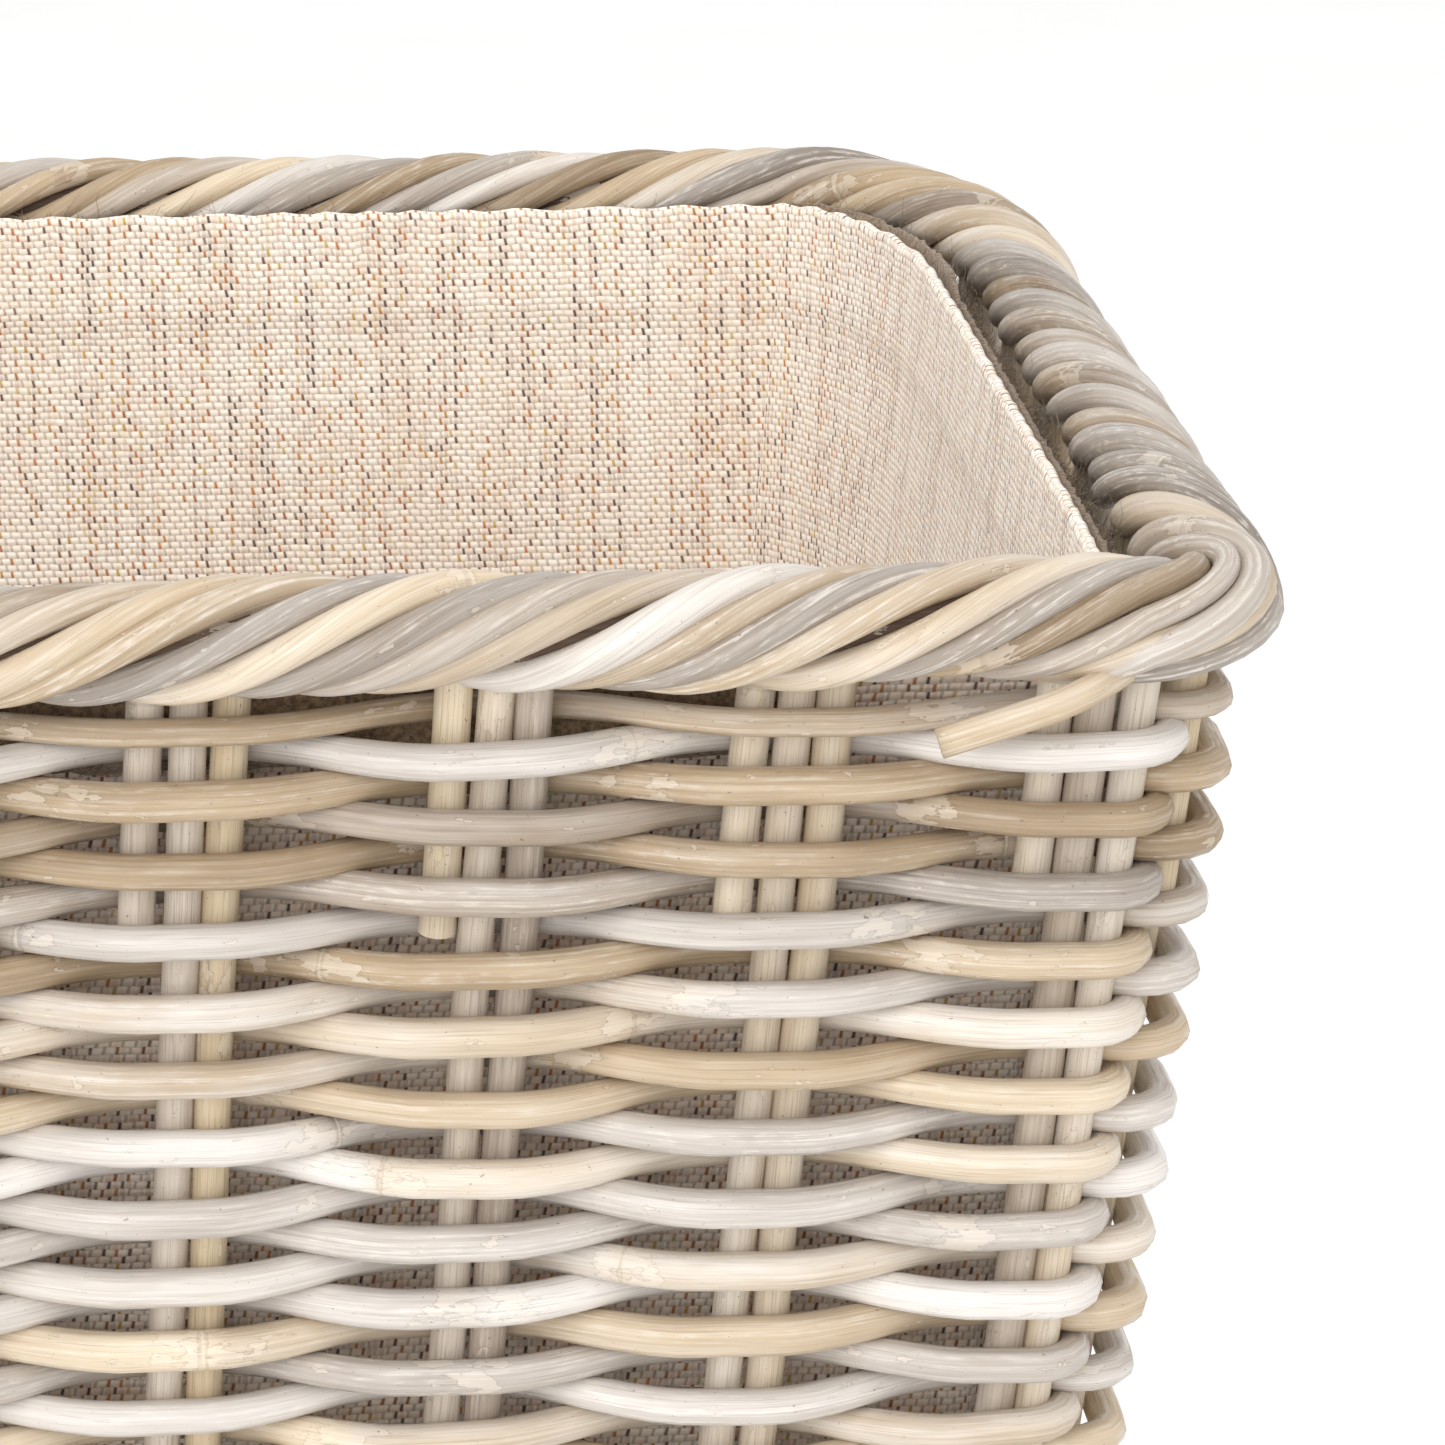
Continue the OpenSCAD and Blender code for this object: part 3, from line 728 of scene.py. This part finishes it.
def rope_strands(canes, loop, z, r, pitch, lead, broad, lightness, flat_below=None):
    """A rope of separate strands laid side by side: each comes up outside, goes once round over the top
    and down inside, and tucks both its ends in under the rope. pitch, the length of a turn (lead), the
    strand's half-width (broad) and its lightness are functions of the distance along the loop."""
    rng = canes.rng
    heads = loop.places(pitch)
    heads = heads + 1.2 * MM * rng.normal(0, 1, len(heads))
    for head in heads:
        phase = np.linspace(ROPE_START, ROPE_START + 2 * math.pi, ROPE_SAMPLES)
        share = np.linspace(0, 1, len(phase))
        turn_length = lead(head % loop.length) * rng.normal(1, 0.05)
        s = head + turn_length / (2 * math.pi) * (phase - math.pi / 2)
        tuck = TUCK * (np.exp(-share / 0.06) + np.exp(-(1 - share) / 0.06))
        thick = STRAND_THICK * rng.normal(1, 0.05)
        half_broad = broad(head % loop.length) * rng.normal(1, 0.08)
        wave = rng.normal(0, 0.28) * np.sin(2 * math.pi * (share * rng.uniform(0.8, 1.6) + rng.uniform()))
        centre_r = r - thick + (rng.normal(-0.3, 0.5) + wave) * MM - tuck
        centre_r = np.minimum(centre_r, r - thick + 0.3 * MM)
        xy, normal = loop.at(s)
        outward = lift(normal * np.cos(phase)[:, None], np.sin(phase))
        path = lift(xy, z) + outward * centre_r[:, None]
        value = rng.normal(lightness(head % loop.length), 0.13)
        canes.add(path, outward, thick, half_broad, sides=12, closed=False,
                  base=(value, rng.normal(0.5, 0.3), rng.uniform(0.1, 1)), spread=(0.07, 0.1, 0.2),
                  gap=(110 * MM, 320 * MM), flat_below=flat_below)


def core(name, loop, z, r):
    """The inside of a border, seen only between its strands, in a dark cane material whose colours are
    painted shade.
    """
    canes = Canes(3)
    s = loop.spread(12 * MM, 4 * MM)
    xy, normal = loop.at(s)
    canes.add(lift(xy, z), lift(normal, 0.0), r, r, sides=12, base=(0.3, 0.3, 0.0))
    return canes.build(name, SHADOW_CANE)


def loose_end(canes, loop):
    """A strand that leaves the rim at the front right corner and ends, cut square, over the top courses."""
    share = np.linspace(0, 1, 14)
    s = loop.on_wall(0, loop.xy[:, 0].max() - 19 * MM - 34 * MM * share)
    xy, normal = loop.at(s)
    out = 2.5 * MM + 7.5 * MM * np.sin(math.pi / 2 * np.minimum(1, 2.2 * share))
    z = RIM_Z - 8 * MM - 11 * MM * share ** 0.9
    thick = 2.6 * MM * np.ones(len(share))
    canes.add(lift(xy + normal * out[:, None], z), lift(normal, 0.0), thick, thick * 1.1, closed=False,
              base=(0.62, 0.3, 0.4), spread=(0.02, 0.02, 0.05), gap=(400 * MM, 500 * MM))


def borders():
    rim_loop = Loop(TOP_HALF, ROLL_CORNER_R - RIM_OUT, RIM_OUT)
    foot_loop = Loop(FOOT_HALF, ROLL_CORNER_R)

    def by_wall(loop, long, side, corner):
        """A value for every distance along a border: on the long walls, the sides and the front corners."""
        return lambda s: np.where(loop.near_corner(s, 12 * MM, (0, 3)), corner,
                                  np.where(loop.on_side(s), side, long))

    rim, foot = Canes(11), Canes(12)
    # The rim's strands are darker on the side walls (0.4) than on the front and back (0.54) and front corners
    # (0.46): this is painted shade, where less light falls on the rim's sides.
    rope_strands(rim, rim_loop, RIM_Z, RIM_R, by_wall(rim_loop, 13.6 * MM, 17.0 * MM, 11.5 * MM),
                 by_wall(rim_loop, 108 * MM, 132 * MM, 100 * MM),
                 by_wall(rim_loop, 3.0 * MM, 3.25 * MM, 2.9 * MM), by_wall(rim_loop, 0.54, 0.4, 0.46))
    loose_end(rim, rim_loop)
    rope_strands(foot, foot_loop, FOOT_Z, FOOT_R, by_wall(foot_loop, 14 * MM, 15 * MM, 12 * MM),
                 by_wall(foot_loop, 108 * MM, 112 * MM, 100 * MM),
                 by_wall(foot_loop, 2.9 * MM, 3.0 * MM, 2.8 * MM), by_wall(foot_loop, 0.48, 0.48, 0.48),
                 flat_below=0.0)
    rim_piece = rim.build("rim_strands", RIM)
    foot_piece = foot.build("foot_strands", WEAVER)
    rim_core = core("rim_core", rim_loop, RIM_Z, RIM_R - 4.6 * MM)
    foot_core = core("foot_core", foot_loop, FOOT_Z, FOOT_R - 4.6 * MM)
    for piece in (rim_piece, rim_core):
        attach(piece, "basket")
    for piece in (foot_piece, foot_core):
        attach(piece, "basket")
    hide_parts(*[f"rim_{wall}" for wall in WALLS])
    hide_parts(*[f"rim_corner_{corner}" for corner in CORNERS])
    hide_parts(*[f"foot_{wall}" for wall in WALLS])
    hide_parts(*[f"foot_corner_{corner}" for corner in CORNERS])


# ---------------------------------------------------------------- the bottom

def foot_reach(axis, other):
    """How far along an axis the bottom reaches inside the foot, at a distance along the other axis."""
    inset = FOOT_R + 2 * MM
    across = 1 - axis
    past = max(0.0, other - (FOOT_HALF - BACK_CORNER)[across]) / (BACK_CORNER[across] - inset)
    bend = (BACK_CORNER[axis] - inset) * (1 - math.sqrt(max(0.0, 1 - past * past)))
    return FOOT_HALF[axis] - inset - bend


def bottom():
    low, high = node_box("base_sticks")
    stick_z = (low[2] + high[2]) / 2
    stick_r = (high[2] - low[2]) / 2
    step = (high[0] - low[0] - 4 * stick_r - 0.4 * MM) / (GROUPS_FRONT - 1)
    middles = (np.arange(GROUPS_FRONT) - (GROUPS_FRONT - 1) / 2) * step
    stick_samples, row_samples = 30, 110
    sticks = Canes(41)
    for middle_x in middles:
        for side in (-1, 1):
            x = middle_x + side * (stick_r + 0.2 * MM)
            back = foot_reach(1, abs(x) + stick_r)
            y = np.linspace(low[1], back, stick_samples)
            wander = 0.2 * MM * drift(sticks.rng, y, 1.0, 0.1)
            path = np.column_stack([x + wander, y, np.full(stick_samples, stick_z)])
            up = np.broadcast_to(np.array([0.0, 0.0, 1.0]), path.shape)
            sticks.add(path, up, stick_r, stick_r, sides=12, closed=False,
                       base=(sticks.rng.normal(0.5, 0.08), sticks.rng.uniform(0.2, 0.8), 0.3))
    sticks_piece = sticks.build("bottom_sticks", STAKE)
    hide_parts("base_sticks")
    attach(sticks_piece, "basket")

    pieces = (("bottom_weave_upper", "base_weave_upper", 1), ("bottom_weave_lower", "base_weave_lower", -1))
    upper_low, upper_high = node_box("base_weave_upper")
    offset = (upper_low[2] + upper_high[2]) / 2 - stick_z
    cane_r = (upper_high[2] - upper_low[2]) / 2
    pitch = 6.7 * MM
    rows = int(round((upper_high[1] - upper_low[1] - 2 * cane_r) / pitch)) + 1
    for name, node, first in pieces:
        canes = Canes(50 + first)
        for k in range(0 if first > 0 else 1, rows, 2):
            y = (k - (rows - 1) / 2) * pitch
            reach = foot_reach(0, y + cane_r)
            x = np.linspace(-reach, reach, row_samples)
            side = np.cos(math.pi * (x - middles[0]) / step) * first
            side = np.clip(side * 1.5, -1, 1)
            path = np.column_stack([x, np.full(row_samples, y), stick_z + offset * side])
            up = np.broadcast_to(np.array([0.0, 0.0, 1.0]), path.shape)
            radius = cane_r * canes.rng.normal(0.97, 0.03)
            canes.add(path, up, radius, radius, sides=10, closed=False,
                      base=(canes.rng.normal(0.45, 0.12), canes.rng.uniform(0.1, 0.9), 0.5))
        piece = canes.build(name, WEAVER)
        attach(piece, "basket")
        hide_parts(node)


# ---------------------------------------------------------------- the liner

def wall_fractions(long_steps, short_steps, corner_steps, back_steps):
    """Sample places round a loop as (run, share of the run), the same at every height."""
    counts = [long_steps // 2, corner_steps, short_steps, back_steps, long_steps, back_steps, short_steps,
              corner_steps, long_steps // 2]
    run = np.concatenate([np.full(c, i) for i, c in enumerate(counts)])
    share = np.concatenate([np.arange(c) / c for c in counts])
    return run, share


def liner_profile():
    """(inset, height) pairs: up the outside, over the folded top, down the inside past the hem."""
    top = LINER_TOP_Z
    fold_r = (CLOTH_T + HEM_T) / 2
    outer = [(0, z) for z in np.linspace(LINER_FLOOR_Z, top - fold_r, 60)]
    fold = [(fold_r * (1 - math.cos(a)), top - fold_r + fold_r * math.sin(a))
            for a in np.linspace(0, math.pi, 9)[1:-1]]
    hem_low = top - HEM_H
    hem = [(2 * fold_r, z) for z in np.linspace(top - fold_r, hem_low + 1 * MM, 10)]
    inner = [(CLOTH_T, z) for z in np.linspace(hem_low - 0.5 * MM, LINER_FLOOR_Z, 58)]
    return np.array(outer + fold + hem + inner)


def liner_walls(cloth):
    run, share = wall_fractions(150, 70, 8, 34)
    profile = liner_profile()
    rng = np.random.default_rng(21)
    n, m = len(run), len(profile)
    points = np.zeros((m, n, 3))
    along = np.zeros((m, n + 1))
    mids = np.zeros((m, 5))
    fold_waves = [(rng.integers(3, 16), rng.uniform(0, 6.3), rng.uniform(2, 9), rng.uniform(0, 6.3))
                  for _ in range(7)]
    for i, (inset, z) in enumerate(profile):
        base = Loop(plane_half(z), LINER_CORNER_R, -LINER_IN)
        s = base.ends[run] + share * np.diff(base.ends)[run]
        xy, normal = base.at(s)
        t = s / base.length
        depth = (LINER_TOP_Z - z) / (LINER_TOP_Z - LINER_FLOOR_Z)
        slack = 0.5 * MM + 2.2 * MM * math.sin(math.pi * min(1, depth * 1.15 + 0.02)) ** 0.8
        waves = sum(np.cos(2 * math.pi * w * t + p + q * z + r) for w, p, q, r in fold_waves)
        push = slack * (0.5 + 0.5 * np.tanh(0.55 * waves))
        inward = inset + push
        stitches = np.cos(2 * math.pi * 131 * t + 3 * np.sin(2 * math.pi * 17 * t))
        scallop = 0.4 * MM * stitches * max(0, 1 - 25 * depth)
        points[i] = lift(xy - normal * inward[:, None], z + scallop)
        along[i] = np.append(s, base.length)
        mids[i] = [base.on_wall(w, 0.0) for w in range(4)] + [base.length]
    wall = np.array([0, 0, 1, 1, 2, 2, 3, 3, 4])[run]
    wall = np.where((run % 2 == 1) & (share >= 0.5), wall + 1, wall)
    rows = np.repeat(np.arange(m), n)
    cols = np.tile(np.arange(n), m)
    below = (rows + 1) % m
    right = (cols + 1) % n
    quads = np.stack([rows * n + cols, rows * n + right, below * n + right, below * n + cols], 1)
    mesh = mesh_from("liner_walls", points.reshape(-1, 3), quads)
    w = wall[cols]
    heights = profile[:, 1]
    us = [along[rows, cols] - mids[rows, w], along[rows, cols + 1] - mids[rows, w],
          along[below, cols + 1] - mids[below, w], along[below, cols] - mids[below, w]]
    vs = [heights[rows], heights[rows], heights[below], heights[below]]
    layer = mesh.uv_layers.new(name="cloth")
    uv = np.stack([np.stack([u + 2 * w, v], 1) for u, v in zip(us, vs)], 1)
    layer.data.foreach_set("uv", uv.astype(np.float32).ravel())
    mesh.materials.append(cloth)
    piece = link("liner_walls", mesh)
    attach(piece, "liner")
    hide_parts(*[f"liner_{wall}" for wall in WALLS], *[f"liner_hem_{wall}" for wall in WALLS],
                "liner_corner_back_left", "liner_corner_back_right")


def liner_bottom(cloth):
    half = plane_half(LINER_FLOOR_Z) - LINER_IN - 0.5 * MM
    nx, ny = 90, 50
    rng = np.random.default_rng(22)
    x = np.linspace(-half[0], half[0], nx)
    y = np.linspace(-half[1], half[1], ny)
    gx, gy = np.meshgrid(x, y)
    radii = BACK_CORNER - LINER_IN
    past = np.clip((gy - half[1] + radii[1]) / radii[1], 0, 1)
    gx = gx * (1 - radii[0] / half[0] * (1 - np.sqrt(1 - past * past)))
    rise = np.zeros(gx.shape)
    for _ in range(8):
        rise += np.cos(rng.uniform(8, 34) * gx + rng.uniform(8, 34) * gy + rng.uniform(0, 6.3))
    edge = np.minimum(1, np.minimum(half[0] - abs(x)[None, :], half[1] - abs(gy)) / (12 * MM))
    low = LINER_FLOOR_Z + 0.4 * MM
    up = low + edge * (0.8 * MM + 0.35 * MM * rise.clip(-2, 3))
    bottom_points = np.stack([gx, gy, up], 2).reshape(-1, 3)
    top_points = bottom_points + np.array([0, 0, 1.4 * MM])
    points = np.concatenate([bottom_points, top_points])
    under, over, side = slab_quads(nx, ny)
    quads = np.concatenate([under[:, [0, 3, 2, 1]], over[:, [2, 1, 0, 3]], side[:, [0, 3, 2, 1]]])
    mesh = mesh_from("liner_bottom", points, quads)
    layer = mesh.uv_layers.new(name="cloth")
    layer.data.foreach_set("uv", (points[quads.ravel()][:, :2] + 9).astype(np.float32).ravel())
    mesh.materials.append(cloth)
    piece = link("liner_bottom", mesh)
    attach(piece, "liner")
    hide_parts("liner_base")


TAPE_REACH = 0.82
TAPE_THICK = 1.1 * MM
HAIR_R = 0.09 * MM
HAIR_POINTS = 5


def tape_span(loop, wall):
    """Where a strip of tape starts and ends along the loop; a side's strip goes on round its back corner."""
    reach = TAPE_REACH * (TOP_HALF[wall % 2] - LINER_IN)
    start, end = loop.on_wall(wall, -reach), loop.on_wall(wall, reach)
    if wall == 1:
        end = loop.ends[4]
    if wall == 3:
        start = loop.ends[5]
    return start, end


def hair(rng, frame_at, s, z, size):
    """One curled hair of three-sided section, standing outward off the tape at a distance along it and a
    height."""
    t = np.linspace(0, 1, HAIR_POINTS)
    sway = rng.normal(0, 0.7, 2) * size
    along = s + sway[0] * t + rng.normal(0, 0.15) * size * np.sin(6 * t)
    up = z + (sway[1] + 0.8 * size) * t - 0.6 * size * t * t
    line = frame_at(along, up, -size * 0.35 * np.sin(2.4 * t))
    thick = HAIR_R * (1 - 0.6 * t)
    section = np.array([[0, 0, 1], [0.87, 0.87, -0.5], [-0.87, -0.87, -0.5]])
    return (line[:, None, :] + section[None] * thick[:, None, None]).reshape(-1, 3)


def tape_band(name, node, inset, material, body, seed, hairs, hair_size, rise=0.0):
    """One strip of brushed tape along a wall, inset inside the stakes, with hairs standing off it. rise is
    how far its frayed top edge stands above the tape's own; in a back corner it stands twice as far."""
    wall = WALLS.index(node.rsplit("_", 1)[1])
    rng = np.random.default_rng(seed)
    loop = Loop(plane_half(TAPE_TOP_Z), WALL_CORNER_R)
    start, end = tape_span(loop, wall)

    def frame_at(s, z, depth):
        xy, outward = loop.at(s)
        lean = FLARE * (TAPE_TOP_Z - z) + inset + depth
        return lift(xy - outward * lean[:, None], z)

    n, m = 160, 5
    z_steps = np.linspace(TAPE_TOP_Z - TAPE_H, TAPE_TOP_Z, m)
    gs, gz = np.meshgrid(np.linspace(start, end, n), z_steps)
    ripple = 0.15 * MM * rng.normal(0, 1, gs.size)
    gz = gz + 0.25 * MM * rng.normal(0, 1, gs.shape) * (np.abs(gz - z_steps.mean()) > TAPE_H * 0.45)
    bent = np.convolve(loop.near_corner(gs[0], 4 * MM, (1, 2)), np.ones(7) / 7, "same")
    gz = gz + rise * np.outer(np.linspace(0, 1, m), 1 + bent)
    front = frame_at(gs.ravel(), gz.ravel(), ripple)
    back = frame_at(gs.ravel(), gz.ravel(), ripple + TAPE_THICK)
    points = [front, back]
    quads = slab_quads(n, m)
    count = 2 * n * m
    ring = np.arange(3)
    tube = np.concatenate([np.stack([k * 3 + ring, k * 3 + (ring + 1) % 3, k * 3 + 3 + (ring + 1) % 3,
                                     k * 3 + 3 + ring], 1)
                           for k in range(HAIR_POINTS - 1)])
    for _ in range(hairs):
        root_s = rng.uniform(start, end)
        root_z = TAPE_TOP_Z + rise - TAPE_H * rng.uniform(0, 1) ** 2.2
        points.append(hair(rng, frame_at, root_s, root_z, hair_size * rng.uniform(0.5, 1.2)))
        quads.append(tube + count)
        count += 3 * HAIR_POINTS
    mesh = mesh_from(name, np.concatenate(points), np.concatenate(quads))
    mesh.materials.append(material)
    piece = link(name, mesh)
    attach(piece, body)
    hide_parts(node)


def tapes():
    hooks = fuzzy_tape("hook_tape", rgb(70, 56, 42), rgb(136, 114, 88))
    loops = fuzzy_tape("loop_tape", rgb(92, 74, 54), rgb(160, 132, 100))
    for wall, name in enumerate(WALLS):
        tape_band(f"hooks_{name}", f"hook_tape_{name}", HOOK_TAPE_IN, hooks, "liner", 60 + wall,
                  1500, 2.4 * MM)
        tape_band(f"loops_{name}", f"loop_tape_{name}", LOOP_TAPE_IN, loops, "basket", 70 + wall,
                  3000, 4.2 * MM, rise=3 * MM)


# ---------------------------------------------------------------- floor, light and camera

def stage():
    half = 14.0
    mesh = mesh_from("floor", [(-half, -half, 0), (half, -half, 0), (half, half, 0), (-half, half, 0)],
                     [[0, 1, 2, 3]])
    mesh.materials.append(plain_floor())
    floor = link("floor", mesh)
    world = bpy.data.worlds.new("studio")
    world.use_nodes = True
    background = world.node_tree.nodes["Background"]
    background.inputs[0].default_value = (1.0, 1.0, 1.0, 1.0)
    background.inputs[1].default_value = 1.0
    bpy.context.scene.world = world
    bpy.context.scene.view_settings.view_transform = "Standard"


def softbox(name, place, target, size, power):
    light = bpy.data.lights.new(name, "AREA")
    light.shape = "RECTANGLE"
    light.size, light.size_y = size
    light.energy = power
    lamp = bpy.data.objects.new(name, light)
    lamp.location = place
    aim = np.array(target) - np.array(place)
    lamp.rotation_euler = (math.atan2(math.hypot(aim[0], aim[1]), -aim[2]), 0, math.atan2(-aim[0], aim[1]))
    bpy.context.scene.collection.objects.link(lamp)


def lights():
    centre = (0.1, 0, 0.45)
    softbox("top", (0.5, -0.7, 2.4), centre, (1.7, 0.3), 9)
    softbox("front", (-0.9, -2.4, 1.5), centre, (2.6, 1.8), 35)


CAMERA_AT = (107.3 * MM, -1186 * MM, 771.5 * MM)
CAMERA_YAW = 0.091
CAMERA_PITCH = 0.2897
CAMERA_LENS = 150.5


def camera():
    data = bpy.data.cameras.new("camera")
    data.lens = CAMERA_LENS
    data.sensor_width = 36
    shot = bpy.data.objects.new("camera", data)
    shot.location = CAMERA_AT
    shot.rotation_euler = (math.pi / 2 - CAMERA_PITCH, 0, -CAMERA_YAW)
    bpy.context.scene.collection.objects.link(shot)
    bpy.context.scene.camera = shot


camera()
woven_walls()
binding_course()
stakes()
borders()
bottom()
cloth = liner_cloth()
liner_walls(cloth)
liner_bottom(cloth)
tapes()
stage()
lights()
